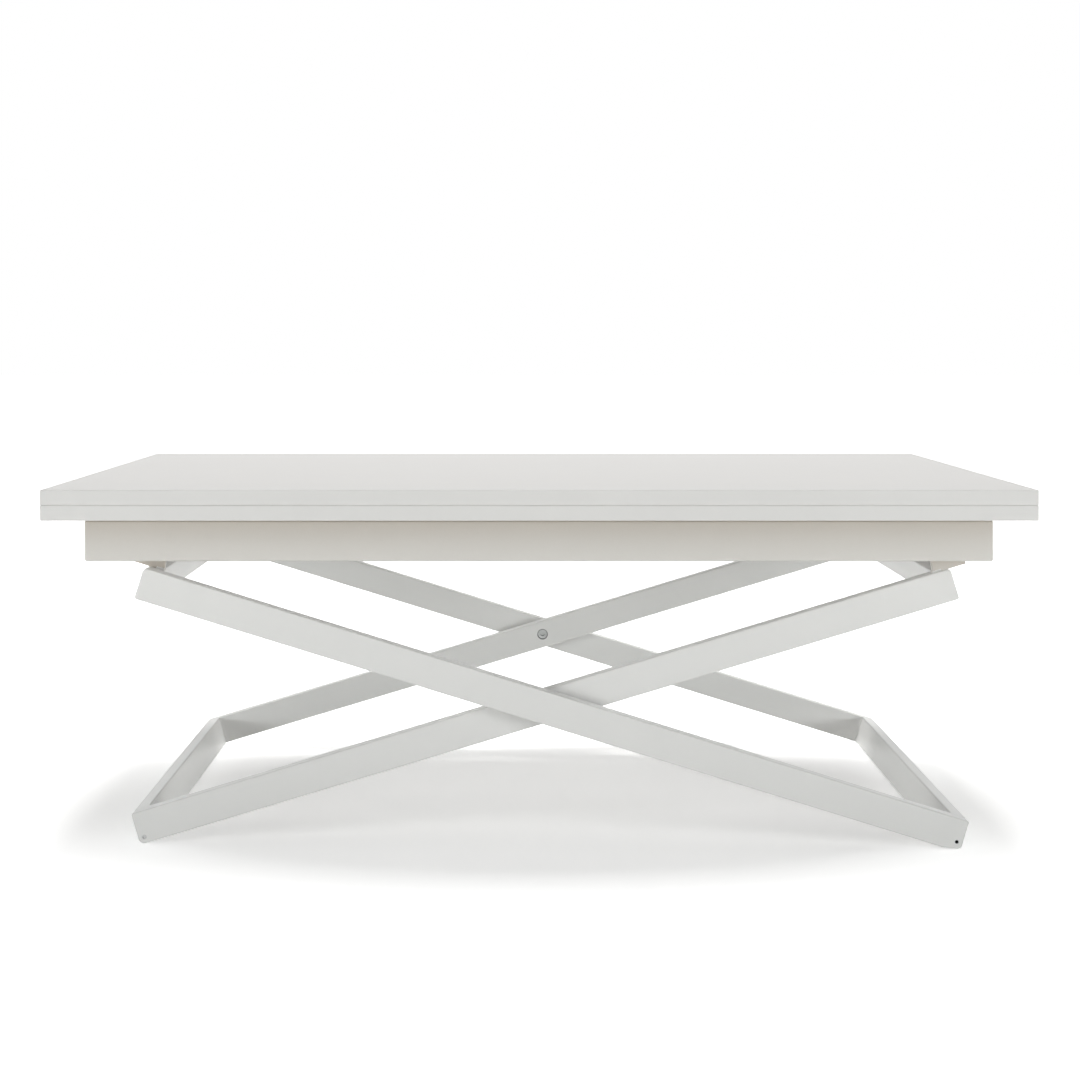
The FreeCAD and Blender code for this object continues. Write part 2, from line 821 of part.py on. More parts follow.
def tube_between_rails(name, width, height, wall, x, z, edge_radius):
    """Rectangular tube across the apron, from one channel's mouth to the other's."""
    outside = block(
        name + "_outside", width, "2 * rail_mouth", height, [(LONG_Y_SHARES, edge_radius)]
    )
    place(outside, x, "0", z)
    hollow = box(
        name + "_hollow",
        f"{width} - 2 * {wall}",
        "2 * (rail_mouth + overrun)",
        f"({height}) - 2 * {wall}",
        f"({x}) - {width} / 2 + {wall}",
        "-rail_mouth - overrun",
        f"({z}) + {wall}",
    )
    return cut(name + "_tube", outside, hollow)


def release_hole(name, x, length):
    return rod(
        name,
        "release_bore + release_guide_wall",
        f"{length} + 2 * overrun",
        "x",
        f"({x}) - overrun",
        "release_offset",
        "pivot_z",
    )


def end_rails():
    """Tubes that close the apron's ends; the right one has a hole for the release."""
    reach = "apron_length / 2 - end_rail_width / 2"
    size = ("end_rail_width", "rail_height", "end_rail_wall")
    left = tube_between_rails("left_end_rail", *size, f"-({reach})", "rail_bottom", "end_rail_edge_radius")
    node("left_end_rail", left)
    right = tube_between_rails("right_end_rail", *size, reach, "rail_bottom", "end_rail_edge_radius")
    hole = release_hole("right_end_hole", "end_rail_inside", "end_rail_width")
    node("right_end_rail", cut("right_end_rail", right, hole))


def rail_end_caps():
    """Plugs in the open ends of the channels."""
    caps = []
    for position, side in SIDES.items():
        for end, x in (("left", "-apron_length / 2"), ("right", "apron_length / 2 - cap_thickness")):
            caps.append(
                box(
                    f"cap_{position}_{end}",
                    "cap_thickness",
                    "rail_width - rail_wall - cap_play",
                    "2 * (channel_half - cap_play)",
                    x,
                    low_end(side, "rail_mouth", "rail_web - cap_play"),
                    "pivot_z - channel_half + cap_play",
                )
            )
    node("rail_end_caps", *caps)


def leaf_glides():
    """Low pads on the rails that carry the leaf as it turns."""
    reach = "apron_length / 2 - glide_inset - glide_length / 2"
    pads = []
    for position, side in SIDES.items():
        for number, share in enumerate((-1, 0, 1)):
            pads.append(
                box(
                    f"glide_{position}_{number}",
                    "glide_length",
                    "glide_width",
                    "leaf_clearance - glide_gap",
                    f"{share} * ({reach}) - glide_length / 2",
                    f"{side} * (rail_face - rail_width / 2) - glide_width / 2",
                    "rail_top",
                )
            )
    node("leaf_glides", *pads)


def fixed_pivots():
    """Blocks in the channels and bolts that carry the inner frame's lugs."""
    blocks = []
    bolts = []
    for position, side in SIDES.items():
        blank = box(
            f"fixed_block_{position}",
            "block_length",
            "rail_width - rail_wall",
            "2 * channel_half",
            "fixed_x - block_length / 2",
            low_end(side, "rail_mouth", "rail_web"),
            "pivot_z - channel_half",
        )
        head_far = "lug_back - bolt_head_gap"
        head_near = f"{head_far} - bolt_head_height"
        shank = rod(
            f"bolt_shank_{position}",
            "shaft_radius",
            f"rail_web - shaft_end_gap - ({head_near})",
            "y",
            "fixed_x",
            low_end(side, head_near, "rail_web - shaft_end_gap"),
            "pivot_z",
        )
        head = rod(
            f"bolt_head_{position}",
            "bolt_head_radius",
            "bolt_head_height",
            "y",
            "fixed_x",
            low_end(side, head_near, head_far),
            "pivot_z",
        )
        tool = hexagon(
            f"bolt_socket_{position}",
            "bolt_socket_radius",
            "bolt_socket_depth + overrun",
            "y",
            "fixed_x",
            low_end(side, f"{head_near} - overrun", f"{head_near} + bolt_socket_depth"),
            "pivot_z",
        )
        blocks.append(cut(f"fixed_block_bored_{position}", blank, shank))
        bolts.append(cut(f"fixed_bolt_{position}", fuse(f"bolt_{position}", shank, head), tool))
    node("fixed_pivot_blocks", *blocks)
    node("fixed_pivot_bolts", *bolts)


# Carriage and gas spring.


def carriage():
    """Blocks that slide in the channels, on one shaft that the outer frame's lugs turn on."""
    half = "rail_web - slider_clearance - shaft_end_gap"
    shaft = rod("shaft", "shaft_radius", f"2 * ({half})", "y", "slider_x", f"-({half})", "pivot_z")
    node("slider_shaft", shaft)
    blocks = []
    for position, side in SIDES.items():
        blank = box(
            f"slider_{position}",
            "slider_length",
            "rail_width - rail_wall - slider_clearance",
            "2 * (channel_half - slider_clearance)",
            "slider_x - slider_length / 2",
            low_end(side, "rail_mouth", "rail_web - slider_clearance"),
            "pivot_z - channel_half + slider_clearance",
        )
        blocks.append(cut(f"slider_block_{position}", blank, shaft))
    node("slider_blocks", *blocks)
    gas_rod(shaft)


def gas_rod(shaft):
    """Piston rod of the gas spring and the eye that ties it to the shaft."""
    start = "slider_x + gas_rod_start"
    bar = rod("gas_bar", "gas_rod_radius", f"piston_x - ({start})", "x", start, "0", "pivot_z")
    piston = rod(
        "gas_piston",
        "gas_radius - gas_wall - gas_piston_clearance",
        "gas_piston_length",
        "x",
        "piston_x",
        "0",
        "pivot_z",
    )
    node("gas_rod", fuse("gas_rod", bar, piston))
    low = "-rod_eye_width / 2"
    ring = rod("rod_eye_ring", "rod_eye_radius", "rod_eye_width", "y", "slider_x", low, "pivot_z")
    neck = rod("rod_eye_neck", "rod_neck_radius", "rod_neck_length", "x", "slider_x", "0", "pivot_z")
    node("gas_rod_eye", cut("gas_rod_eye", fuse("rod_eye", ring, neck), shaft, bar))


def gas_cylinder():
    """Closed cylinder with a bore for the piston, a guide for the rod and an eye at the rear."""
    tube = rod("gas_tube", "gas_radius", "gas_length", "x", "gas_front", "0", "pivot_z")
    neck = rod("gas_neck", "gas_neck_radius", "gas_neck_length", "x", "gas_rear", "0", "pivot_z")
    low = "-gas_eye_width / 2"
    ring = rod("gas_eye", "gas_eye_radius", "gas_eye_width", "y", "anchor_x", low, "pivot_z")
    bore = rod(
        "gas_bore",
        "gas_radius - gas_wall",
        "gas_length - 2 * gas_cap",
        "x",
        "gas_front + gas_cap",
        "0",
        "pivot_z",
    )
    guide = rod(
        "gas_guide",
        "gas_rod_radius + running_clearance",
        "gas_cap + 2 * overrun",
        "x",
        "gas_front - overrun",
        "0",
        "pivot_z",
    )
    pin_half = "gas_eye_width / 2 + anchor_ear_gap + anchor_plate + gas_pin_proud"
    pin_length = f"2 * ({pin_half})"
    pin = rod("gas_pin", "gas_pin_radius", pin_length, "y", "anchor_x", f"-({pin_half})", "pivot_z")
    node("gas_pin", pin)
    node("gas_cylinder", cut("gas_cylinder", fuse("gas_outside", tube, neck, ring), bore, guide, pin))
    anchor_bracket(pin)


def anchor_bracket(pin):
    """Bracket on the swivel beam with two ears for the gas spring's pin."""
    half = "gas_eye_width / 2 + anchor_ear_gap + anchor_plate"
    base = box(
        "anchor_base",
        "anchor_plate",
        "anchor_width",
        "anchor_height",
        "beam_side - anchor_plate",
        "-anchor_width / 2",
        "pivot_z - anchor_height / 2",
    )
    pieces = [base]
    for position, side in SIDES.items():
        low = low_end(side, f"{half} - anchor_plate", half)
        reach = "anchor_reach - anchor_plate"
        size = (reach, "anchor_plate", "2 * gas_eye_radius")
        pieces.append(box(f"anchor_ear_{position}", *size, "anchor_x", low, "pivot_z - gas_eye_radius"))
        round_end = ("gas_eye_radius", "anchor_plate", "y", "anchor_x", low, "pivot_z")
        pieces.append(rod(f"anchor_round_{position}", *round_end))
    node("gas_bracket", cut("gas_bracket", fuse("anchor", *pieces), pin))


# Release.


def release():
    """Pull rod from the gas spring's release head through the beam and the right rail to a handle."""
    head_x = "gas_rear - release_head_length"
    margin = "gas_radius + release_head_margin"
    blank = box(
        "release_blank",
        "release_head_length",
        f"{margin} + release_offset + release_guide_wall + release_head_margin",
        f"2 * ({margin})",
        head_x,
        f"-({margin})",
        f"pivot_z - ({margin})",
    )
    seat = rod(
        "release_seat",
        "gas_radius",
        "release_head_length + 2 * overrun",
        "x",
        f"{head_x} - overrun",
        "0",
        "pivot_z",
    )
    bore = rod(
        "release_head_bore",
        "release_bore",
        "release_head_length",
        "x",
        f"{head_x} + release_rod_start / 2",
        "release_offset",
        "pivot_z",
    )
    node("release_head", cut("release_head", blank, seat, bore))
    start = f"{head_x} + release_rod_start"
    end = "handle_x + handle_bore_depth"
    line = ("x", start, "release_offset", "pivot_z")
    bar = rod("release_bar", "release_rod_radius", f"{end} - ({start})", *line)
    node("release_rod", bar)
    grip = block(
        "release_grip",
        "handle_thickness",
        "handle_width",
        "handle_height",
        [(ALL_EDGES_SHARES, "handle_edge_radius")],
    )
    place(grip, "handle_x + handle_thickness / 2", "release_offset", "pivot_z - handle_height / 2")
    node("release_handle", cut("release_handle", grip, bar))
    release_guides()


def release_guides():
    """Sleeves that carry the pull rod in the swivel beam and in the right end rail."""
    guides = []
    places = (("beam", "beam_side", "swivel_beam_width"), ("end", "end_rail_inside", "end_rail_width"))
    for name, x, width in places:
        low, length = (f"{x} - release_guide_lip", f"{width} + 2 * release_guide_lip")
        line = ("x", low, "release_offset", "pivot_z")
        sleeve = rod(f"guide_{name}", "release_bore + release_guide_wall", length, *line)
        bore_line = ("x", f"{low} - overrun", "release_offset", "pivot_z")
        bore = rod(f"guide_bore_{name}", "release_bore", f"{length} + 2 * overrun", *bore_line)
        guides.append(cut(f"release_guide_{name}", sleeve, bore))
    node("release_guides", *guides)


# Swivel.


def swivel_beam():
    """Beam across the apron that carries the swivel, with its bush, bearing and stop pin."""
    here = ("swivel_place", "swivel_place")
    height = "rail_height - swivel_bearing_thickness"
    size = ("swivel_beam_width", height, "swivel_beam_wall")
    tube = tube_between_rails("swivel_beam", *size, "swivel_place", "rail_bottom", "end_rail_edge_radius")
    bush_radius = "spindle_bore + spindle_bush_wall"
    bush = rod("bush_blank", bush_radius, height, "z", *here, "rail_bottom")
    spindle_hole = rod(
        "spindle_hole",
        "spindle_bore",
        f"{height} + swivel_bearing_thickness + 2 * overrun",
        "z",
        *here,
        "rail_bottom - overrun",
    )
    stop = rod(
        "stop_pin",
        "stop_pin_radius",
        "stop_pin_depth + swivel_bearing_thickness + leaf_clearance - stop_pin_gap",
        "z",
        "swivel_place",
        "swivel_place - stop_pin_circle",
        "beam_top - stop_pin_depth",
    )
    hole = release_hole("beam_hole", "beam_side", "swivel_beam_width")
    node("swivel_beam", cut("swivel_beam", tube, bush, stop, hole))
    node("swivel_bush", cut("swivel_bush", bush, spindle_hole))
    bearing = ("swivel_bearing_radius", "swivel_bearing_thickness", "z", *here, "beam_top")
    node("swivel_bearing", cut("swivel_bearing", rod("bearing_blank", *bearing), spindle_hole))
    node("swivel_stop_pin", stop)


def swivel_plate():
    """Plate under the leaf with its spindle; a notch in its rim gives the quarter turn its ends."""
    here = ("swivel_place", "swivel_place")
    thickness = "leaf_clearance - swivel_gap"
    disc = rod("plate_disc", "swivel_plate_radius", thickness, "z", *here, "rail_top + swivel_gap")
    notch_play = "stop_pin_radius + stop_pin_gap"
    reach = f"swivel_plate_radius + overrun + {notch_play}"
    corner = "swivel_place - swivel_plate_radius - overrun"
    sector = box(
        "notch_sector", reach, reach, f"{thickness} + 2 * overrun", corner, corner, "rail_top - overrun"
    )
    core = rod(
        "notch_core",
        f"stop_pin_circle - ({notch_play})",
        f"{thickness} + 4 * overrun",
        "z",
        *here,
        "rail_top - 2 * overrun",
    )
    spindle_low = "rail_bottom - spindle_washer_thickness - spindle_nut_height - overrun"
    spindle = rod("spindle", "spindle_radius", f"leaf_bottom - ({spindle_low})", "z", *here, spindle_low)
    screws = swivel_screws()
    plate = cut("swivel_plate", disc, cut("notch", sector, core), spindle, *screws)
    node("swivel_plate", plate)
    node("swivel_spindle", spindle)
    washer_low = "rail_bottom - swivel_gap - spindle_washer_thickness"
    nut_low = f"{washer_low} - spindle_nut_height"
    washer_size = ("spindle_washer_radius", "spindle_washer_thickness", "z", *here, washer_low)
    nut_size = ("spindle_nut_radius", "spindle_nut_height", "z", *here, nut_low)
    washer, nut = (rod("nut_washer", *washer_size), hexagon("nut_hex", *nut_size))
    node("swivel_nut", cut("swivel_nut", fuse("nut_blank", washer, nut), spindle))
    return screws


SCREW_CIRCLE_SHARES = [(1, 0), (0.5, 0.866), (-0.5, 0.866), (-1, 0), (-0.5, -0.866), (0.5, -0.866)]


def swivel_screws():
    """Screws through the swivel plate, up into the lower leaf."""
    blanks = []
    finished = []
    for number, (share_x, share_y) in enumerate(SCREW_CIRCLE_SHARES):
        x = f"swivel_place + {share_x} * swivel_screw_circle"
        y = f"swivel_place + {share_y} * swivel_screw_circle"
        spot = (1, x, y, "rail_top + swivel_gap")
        blanks.append(wood_screw(f"swivel_screw_{number}", *spot))
        finished.append(socketed(f"swivel_screw_end_{number}", blanks[-1], *spot))
    node("swivel_plate_screws", *finished)
    return blanks


# Top.

HINGE_PLACES = ["hinge_inset - top_length / 2", "0", "top_length / 2 - hinge_inset"]


def hinge_leaf(name, level, x):
    """Hinge plate with its knuckles: the lower has the two outer ones, the upper the middle one."""
    third = "hinge_length / 3"
    gap = "leaf_gap / 2 + hinge_play / 2"
    plate_z = f"fold_z - ({gap}) - hinge_plate" if level < 0 else f"fold_z + {gap}"
    low_x = f"{x} - hinge_length / 2"
    back_y = "fold_y - hinge_width"
    plate = box(f"{name}_plate", "hinge_length", "hinge_width", "hinge_plate", low_x, back_y, plate_z)
    middle = (f"{third} - hinge_play", f"{x} - {third} / 2 + hinge_play / 2")
    first = (f"{third} - hinge_play / 2", low_x)
    last = (f"{third} - hinge_play / 2", f"{x} + {third} / 2 + hinge_play / 2")
    own = [first, last] if level < 0 else [middle]
    others = [middle] if level < 0 else [first, last]
    barrels = [
        rod(f"{name}_barrel_{n}", "knuckle_radius", length, "x", start, "fold_y", "fold_z")
        for n, (length, start) in enumerate(own)
    ]
    room = "knuckle_radius + hinge_play"
    gaps = [
        box(
            f"{name}_room_{n}",
            f"{length} + 2 * hinge_play",
            f"{room} + overrun",
            f"2 * ({room})",
            f"{start} - hinge_play",
            f"fold_y - ({room})",
            f"fold_z - ({room})",
        )
        for n, (length, start) in enumerate(others)
    ]
    return fuse(f"{name}_blank", cut(f"{name}_cleared", plate, *gaps), *barrels)


def hinge_bore(name, x, radius):
    low_x = f"{x} - hinge_length / 2"
    return rod(name, radius, "hinge_length", "x", low_x, "fold_y", "fold_z")


def hinge_side(level):
    """Hinge plates of one leaf, their screws, and the pockets and holes that the leaf needs."""
    word = "lower" if level < 0 else "upper"
    plates = []
    screws = []
    tools = []
    face = "leaf_gap / 2 + hinge_play / 2"
    face_z = f"fold_z - ({face})" if level < 0 else f"fold_z + {face}"
    for number, x in enumerate(HINGE_PLACES):
        name = f"{word}_hinge_{number}"
        blanks = []
        for end in (-1, 1):
            spot = (level, f"{x} + {end} * hinge_screw_spacing / 2", "fold_y - hinge_screw_setback", face_z)
            blanks.append(wood_screw(f"{name}_screw_{end + 1}", *spot))
            screws.append(socketed(f"{name}_drive_{end + 1}", blanks[-1], *spot))
        radius = "hinge_pin_radius" if level < 0 else "hinge_pin_radius + running_clearance"
        bore = hinge_bore(f"{name}_bore", x, radius)
        plates.append(cut(f"{name}_leaf", hinge_leaf(name, level, x), bore, *blanks))
        depth = "hinge_plate + hinge_play"
        pocket_z = f"lower_top - ({depth})" if level < 0 else "upper_bottom - overrun"
        tools.append(
            box(
                f"{name}_pocket",
                "hinge_length + 2 * hinge_play",
                "hinge_width + hinge_play + overrun",
                f"{depth} + overrun",
                f"{x} - hinge_length / 2 - hinge_play",
                "fold_y - hinge_width - hinge_play",
                pocket_z,
            )
        )
        room = "knuckle_radius + hinge_play"
        tools.append(
            box(
                f"{name}_knuckle_room",
                "hinge_length + 2 * hinge_play",
                f"{room} + overrun",
                f"2 * ({room})",
                f"{x} - hinge_length / 2 - hinge_play",
                f"fold_y - ({room})",
                f"fold_z - ({room})",
            )
        )
        tools.extend(blanks)
    node(f"{word}_hinge_plates", *plates)
    node(f"{word}_hinge_screws", *screws)
    return tools


def leaf(name, z, tools):
    """Board with rounded edges and the seats of its fittings."""
    board = block(
        name + "_board",
        "top_length",
        "top_depth",
        "leaf_thickness",
        [(ALL_EDGES_SHARES, "leaf_edge_radius")],
    )
    place(board, "0", "0", z)
    node(name, cut(name, board, *tools))


BUMPER_SHARES = [(-1, -1), (0, -1), (1, -1), (-1, 0), (1, 0)]


def leaf_bumpers():
    """Small clear pads that keep the folded leaves apart."""
    pads = []
    for number, (share_x, share_y) in enumerate(BUMPER_SHARES):
        x = f"{share_x} * (top_length / 2 - bumper_inset)"
        y = f"{share_y} * (top_depth / 2 - bumper_inset)"
        height = "leaf_gap - bumper_play"
        pads.append(rod(f"bumper_{number}", "bumper_radius", height, "z", x, y, "lower_top"))
    node("leaf_bumpers", *pads)


def top():
    """Both leaves with the hinges between them and the swivel under the lower one."""
    swivel_holes = swivel_plate()
    leaf("lower_leaf", "leaf_bottom", hinge_side(-1) + swivel_holes)
    leaf("upper_leaf", "upper_bottom", hinge_side(1))
    pins = [hinge_bore(f"hinge_pin_{n}", x, "hinge_pin_radius") for n, x in enumerate(HINGE_PLACES)]
    node("hinge_pins", *pins)
    leaf_bumpers()


def build():
    fill_sheet()
    for frame in ("outer", "inner"):
        for position in SIDES:
            leg_beam(frame, position)
        cross_bar(frame, "foot")
        cross_bar(frame, "top")
        lugs(frame)
    centre_pivots()
    right_feet()
    left_feet()
    apron_rails()
    end_rails()
    rail_end_caps()
    leaf_glides()
    fixed_pivots()
    carriage()
    gas_cylinder()
    release()
    swivel_beam()
    top()
    DOC.recompute()


def export():
    """Write each sub-part, once every object has come out whole."""
    failed = [thing.Name for thing in DOC.Objects if {"Invalid", "Error"} & set(thing.State)]
    failed += [part.Label for part in NODES if part.Shape.isNull() or not part.Shape.isValid()]
    if failed:
        raise RuntimeError("not built: " + ", ".join(failed))
    os.makedirs("parts", exist_ok=True)
    for part in NODES:
        part.Shape.exportStep(f"parts/{part.Label}.step")


build()
export()
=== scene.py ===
import json
import math

import bmesh
import bpy
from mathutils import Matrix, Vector


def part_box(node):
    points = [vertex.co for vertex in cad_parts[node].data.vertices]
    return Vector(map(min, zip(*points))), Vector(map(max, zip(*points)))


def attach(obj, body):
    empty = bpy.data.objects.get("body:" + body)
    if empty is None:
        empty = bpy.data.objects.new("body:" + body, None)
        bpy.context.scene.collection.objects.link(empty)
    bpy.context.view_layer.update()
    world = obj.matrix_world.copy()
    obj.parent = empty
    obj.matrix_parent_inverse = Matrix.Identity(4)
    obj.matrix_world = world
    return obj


# White convertible table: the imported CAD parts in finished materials, with the small
# details that the solids leave out, on a pale studio floor. Metres, +Z up, front at -Y.

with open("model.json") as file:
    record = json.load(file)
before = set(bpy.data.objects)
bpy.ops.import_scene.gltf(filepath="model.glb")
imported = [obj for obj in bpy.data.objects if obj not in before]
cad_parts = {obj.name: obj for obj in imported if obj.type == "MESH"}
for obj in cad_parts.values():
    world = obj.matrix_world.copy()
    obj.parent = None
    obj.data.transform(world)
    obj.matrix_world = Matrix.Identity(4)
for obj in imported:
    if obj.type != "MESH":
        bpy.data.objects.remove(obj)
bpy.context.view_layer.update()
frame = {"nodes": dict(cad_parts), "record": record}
NODES = frame["nodes"]

# Camera, as fitted to the photograph: level, a little above the top.
IMAGE_PX = 1080
FOCAL_PX = 1803.07
PRINCIPAL_PX = (518.86, 341.50)
CAMERA_PLACE = (-0.0245, -2.5144, 0.6225)
SENSOR_MM = 36.0

# Light: a white surround, large soft lamps overhead and in front, and four low fills that
# reach in under the top.
HORIZON_STRENGTH = 1.38
ZENITH_STRENGTH = 0.09
HIGH_SURROUND = 0.3
OVERHEAD_POWER = 228.0
OVERHEAD_SIZE = (1.6, 1.6)
OVERHEAD_PLACE = (0.0, 2.0, 5.6)
FRONT_POWER = 24.0
FRONT_SIZE = (3.0, 1.6)
FRONT_PLACE = (0.0, -3.2, 2.7)
FRONT_FILL_POWER = 54.0
REAR_FILL_POWER = 36.0
FILL_SIZE = (2.4, 0.7)
FRONT_FILL_PLACE = (3.5, -2.5, 0.42)
REAR_FILL_PLACE = (3.8, 1.6, 0.42)
LAMP_AIM = (0.0, 0.1, 0.25)
LAMP_WHITE = (1.0, 0.99, 0.975)
FILL_WHITE = (0.965, 1.0, 0.995)

# Floor: its own colours, how it shows to the camera, and the oval round the table past which
# it fades to white.
FLOOR_SIZE = 60.0
FLOOR_DEEP, FLOOR_PALE = (0.885, 0.880, 0.870), (0.900, 0.895, 0.885)
FLOOR_SCALE, FLOOR_SPAN = 3.0, (0.35, 0.65)
FLOOR_ROUGHNESS = 0.95
FLOOR_SEEN = 0.95
FLOOR_GLOW = 0.38
FLOOR_SQUEEZE = (0.53, 1.0, 1.0)
FLOOR_SHIFT = (0.0, 0.1, 0.0)
FLOOR_FADE = (0.29, 0.50)

# Finishes: scales of their noise, and how far it changes tone, gloss and relief.
DRIFT_SCALE, DRIFT_SPAN = 4.0, (0.3, 0.7)
GLOSS_SCALE = 45.0
PEEL_STRENGTH = 0.35
SHEEN_ROUGHNESS = 0.3
FIBRE_SCALE, FIBRE_SHADE = 220.0, 0.93
DOWN_FADE = (-0.9, -0.7)
# Painted shade on the apron: samples and reach of the occlusion, and where it starts to darken.
PAINTED_SHADE_SAMPLES = 8
PAINTED_SHADE_REACH = 0.10
PAINTED_SHADE_FADE = (0.50, 0.97)
STREAK_SCALE, STREAK_STRENGTH, STREAK_DEPTH = 60.0, 0.25, 0.00012
STREAK_GLOSS = (-0.1, 0.14)
PATCH_SCALE, PATCH_SHADE = 120.0, 0.8
# Painted shade inside the foot pin's socket: where it fades in, and its colour.
SOCKET_SHADE_FADE = (0.97, 1.03)
SOCKET_PAINTED_SHADE = (0.012, 0.012, 0.013)
GRAIN_SCALE, GRAIN_STRENGTH, GRAIN_DEPTH = 1400.0, 0.4, 0.00008
GRAIN_GLOSS = (-0.08, 0.1)
TONE_SCALE = 35.0


def new_material(name):
    """Empty node material and its shader."""
    material = bpy.data.materials.new(name)
    material.use_nodes = True
    return material, material.node_tree, material.node_tree.nodes["Principled BSDF"]


def link(tree, start, end):
    tree.links.new(start, end)


def object_coordinates(tree):
    return tree.nodes.new("ShaderNodeTexCoord").outputs["Object"]


def noise(tree, vector, scale, detail=2.0, roughness=0.5):
    node = tree.nodes.new("ShaderNodeTexNoise")
    node.inputs["Scale"].default_value = scale
    node.inputs["Detail"].default_value = detail
    node.inputs["Roughness"].default_value = roughness
    link(tree, vector, node.inputs["Vector"])
    return node.outputs["Fac"]


def remap(tree, value, low, high, from_low=0.0, from_high=1.0):
    node = tree.nodes.new("ShaderNodeMapRange")
    node.inputs["From Min"].default_value = from_low
    node.inputs["From Max"].default_value = from_high
    node.inputs["To Min"].default_value = low
    node.inputs["To Max"].default_value = high
    link(tree, value, node.inputs["Value"])
    return node.outputs["Result"]


def mix_colour(tree, factor, first, second):
    node = tree.nodes.new("ShaderNodeMix")
    node.data_type = "RGBA"
    link(tree, factor, node.inputs["Factor"])
    for socket, value in ((node.inputs[6], first), (node.inputs[7], second)):
        if isinstance(value, tuple):
            socket.default_value = (*value, 1.0)
        else:
            link(tree, value, socket)
    return node.outputs[2]


def bump(tree, shader, height, strength, distance):
    node = tree.nodes.new("ShaderNodeBump")
    node.inputs["Strength"].default_value = strength
    node.inputs["Distance"].default_value = distance
    link(tree, height, node.inputs["Height"])
    link(tree, node.outputs["Normal"], shader.inputs["Normal"])


def facing_down(tree):
    """1 on faces that look down at rest, else 0."""
    parts = tree.nodes.new("ShaderNodeSeparateXYZ")
    link(tree, tree.nodes.new("ShaderNodeTexCoord").outputs["Normal"], parts.inputs["Vector"])
    return remap(tree, parts.outputs["Z"], 1.0, 0.0, *DOWN_FADE)


def painted_shade_share(tree):
    """Painted shade: 1 deep in occluded places, as close under the top's overhang, 0 on open faces.
    """
    shade_occlusion = tree.nodes.new("ShaderNodeAmbientOcclusion")
    shade_occlusion.samples = PAINTED_SHADE_SAMPLES
    shade_occlusion.inputs["Distance"].default_value = PAINTED_SHADE_REACH
    return remap(tree, shade_occlusion.outputs["AO"], 1.0, 0.0, *PAINTED_SHADE_FADE)


def painted(
    name, pale, deep, roughness, swing, peel_scale, peel_depth,
    sheen=0.0, shine=0.5, backing=None, painted_shade=None,
):
    """Sprayed finish: slow drift of tone, fine orange peel, uneven gloss and a bloom at low angles.

    A backing is the colour of faces that look down; the second is painted shade in occluded places.
    """
    material, tree, shader = new_material(name)
    here = object_coordinates(tree)
    drift = remap(tree, noise(tree, here, DRIFT_SCALE, 3.0), 0.0, 1.0, *DRIFT_SPAN)
    colour = mix_colour(tree, drift, deep, pale)
    if backing is not None:
        fibre = noise(tree, here, FIBRE_SCALE, 5.0, 0.7)
        shade = tuple(FIBRE_SHADE * channel for channel in backing)
        paper = mix_colour(tree, fibre, shade, backing)
        colour = mix_colour(tree, facing_down(tree), colour, paper)
    # Painted shade: a darker, warmer colour laid where ambient occlusion finds cover.
    if painted_shade is not None:
        colour = mix_colour(tree, painted_shade_share(tree), colour, painted_shade)
    link(tree, colour, shader.inputs["Base Color"])
    gloss = noise(tree, here, GLOSS_SCALE, 4.0)
    link(tree, remap(tree, gloss, roughness - swing, roughness + swing), shader.inputs["Roughness"])
    peel = noise(tree, here, peel_scale, 2.0)
    bump(tree, shader, peel, PEEL_STRENGTH, peel_depth)
    shader.inputs["Specular IOR Level"].default_value = shine
    shader.inputs["Sheen Weight"].default_value = sheen
    shader.inputs["Sheen Roughness"].default_value = SHEEN_ROUGHNESS
    return material


def metal(name, colour, roughness, brushed, socket=None):
    """Bare or plated steel with drawn streaks and dulled patches.

    A socket, given as the place of its axis in x and z and its radius, has painted shade inside.
    """
    material, tree, shader = new_material(name)
    here = object_coordinates(tree)
    stretch = tree.nodes.new("ShaderNodeMapping")
    stretch.inputs["Scale"].default_value = brushed
    link(tree, here, stretch.inputs["Vector"])
    streaks = noise(tree, stretch.outputs["Vector"], STREAK_SCALE, 5.0)
    patches = noise(tree, here, PATCH_SCALE, 3.0)
    dull = tuple(PATCH_SHADE * channel for channel in colour)
    colour = mix_colour(tree, patches, dull, colour)
    # Painted shade: the inside of the socket is darkened as the recess would be shaded.
    if socket is not None:
        x, z, radius = socket
        away = tree.nodes.new("ShaderNodeVectorMath")
        away.operation = "MULTIPLY_ADD"
        away.inputs[1].default_value = (1.0, 0.0, 1.0)
        away.inputs[2].default_value = (-x, 0.0, -z)
        link(tree, here, away.inputs[0])
        reach = tree.nodes.new("ShaderNodeVectorMath")
        reach.operation = "LENGTH"
        link(tree, away.outputs["Vector"], reach.inputs[0])
        edge = [share * radius for share in SOCKET_SHADE_FADE]
        inside = remap(tree, reach.outputs["Value"], 1.0, 0.0, *edge)
        colour = mix_colour(tree, inside, colour, SOCKET_PAINTED_SHADE)
    link(tree, colour, shader.inputs["Base Color"])
    gloss = [roughness + change for change in STREAK_GLOSS]
    link(tree, remap(tree, streaks, *gloss), shader.inputs["Roughness"])
    shader.inputs["Metallic"].default_value = 1.0
    bump(tree, shader, streaks, STREAK_STRENGTH, STREAK_DEPTH)
    return material


def moulded(name, pale, deep, roughness):
    """Moulded plastic with a fine spark-eroded grain."""
    material, tree, shader = new_material(name)
    here = object_coordinates(tree)
    grain = noise(tree, here, GRAIN_SCALE, 3.0)
    tone = noise(tree, here, TONE_SCALE, 3.0)
    link(tree, mix_colour(tree, tone, deep, pale), shader.inputs["Base Color"])
    gloss = [roughness + change for change in GRAIN_GLOSS]
    link(tree, remap(tree, grain, *gloss), shader.inputs["Roughness"])
    bump(tree, shader, grain, GRAIN_STRENGTH, GRAIN_DEPTH)
    return material


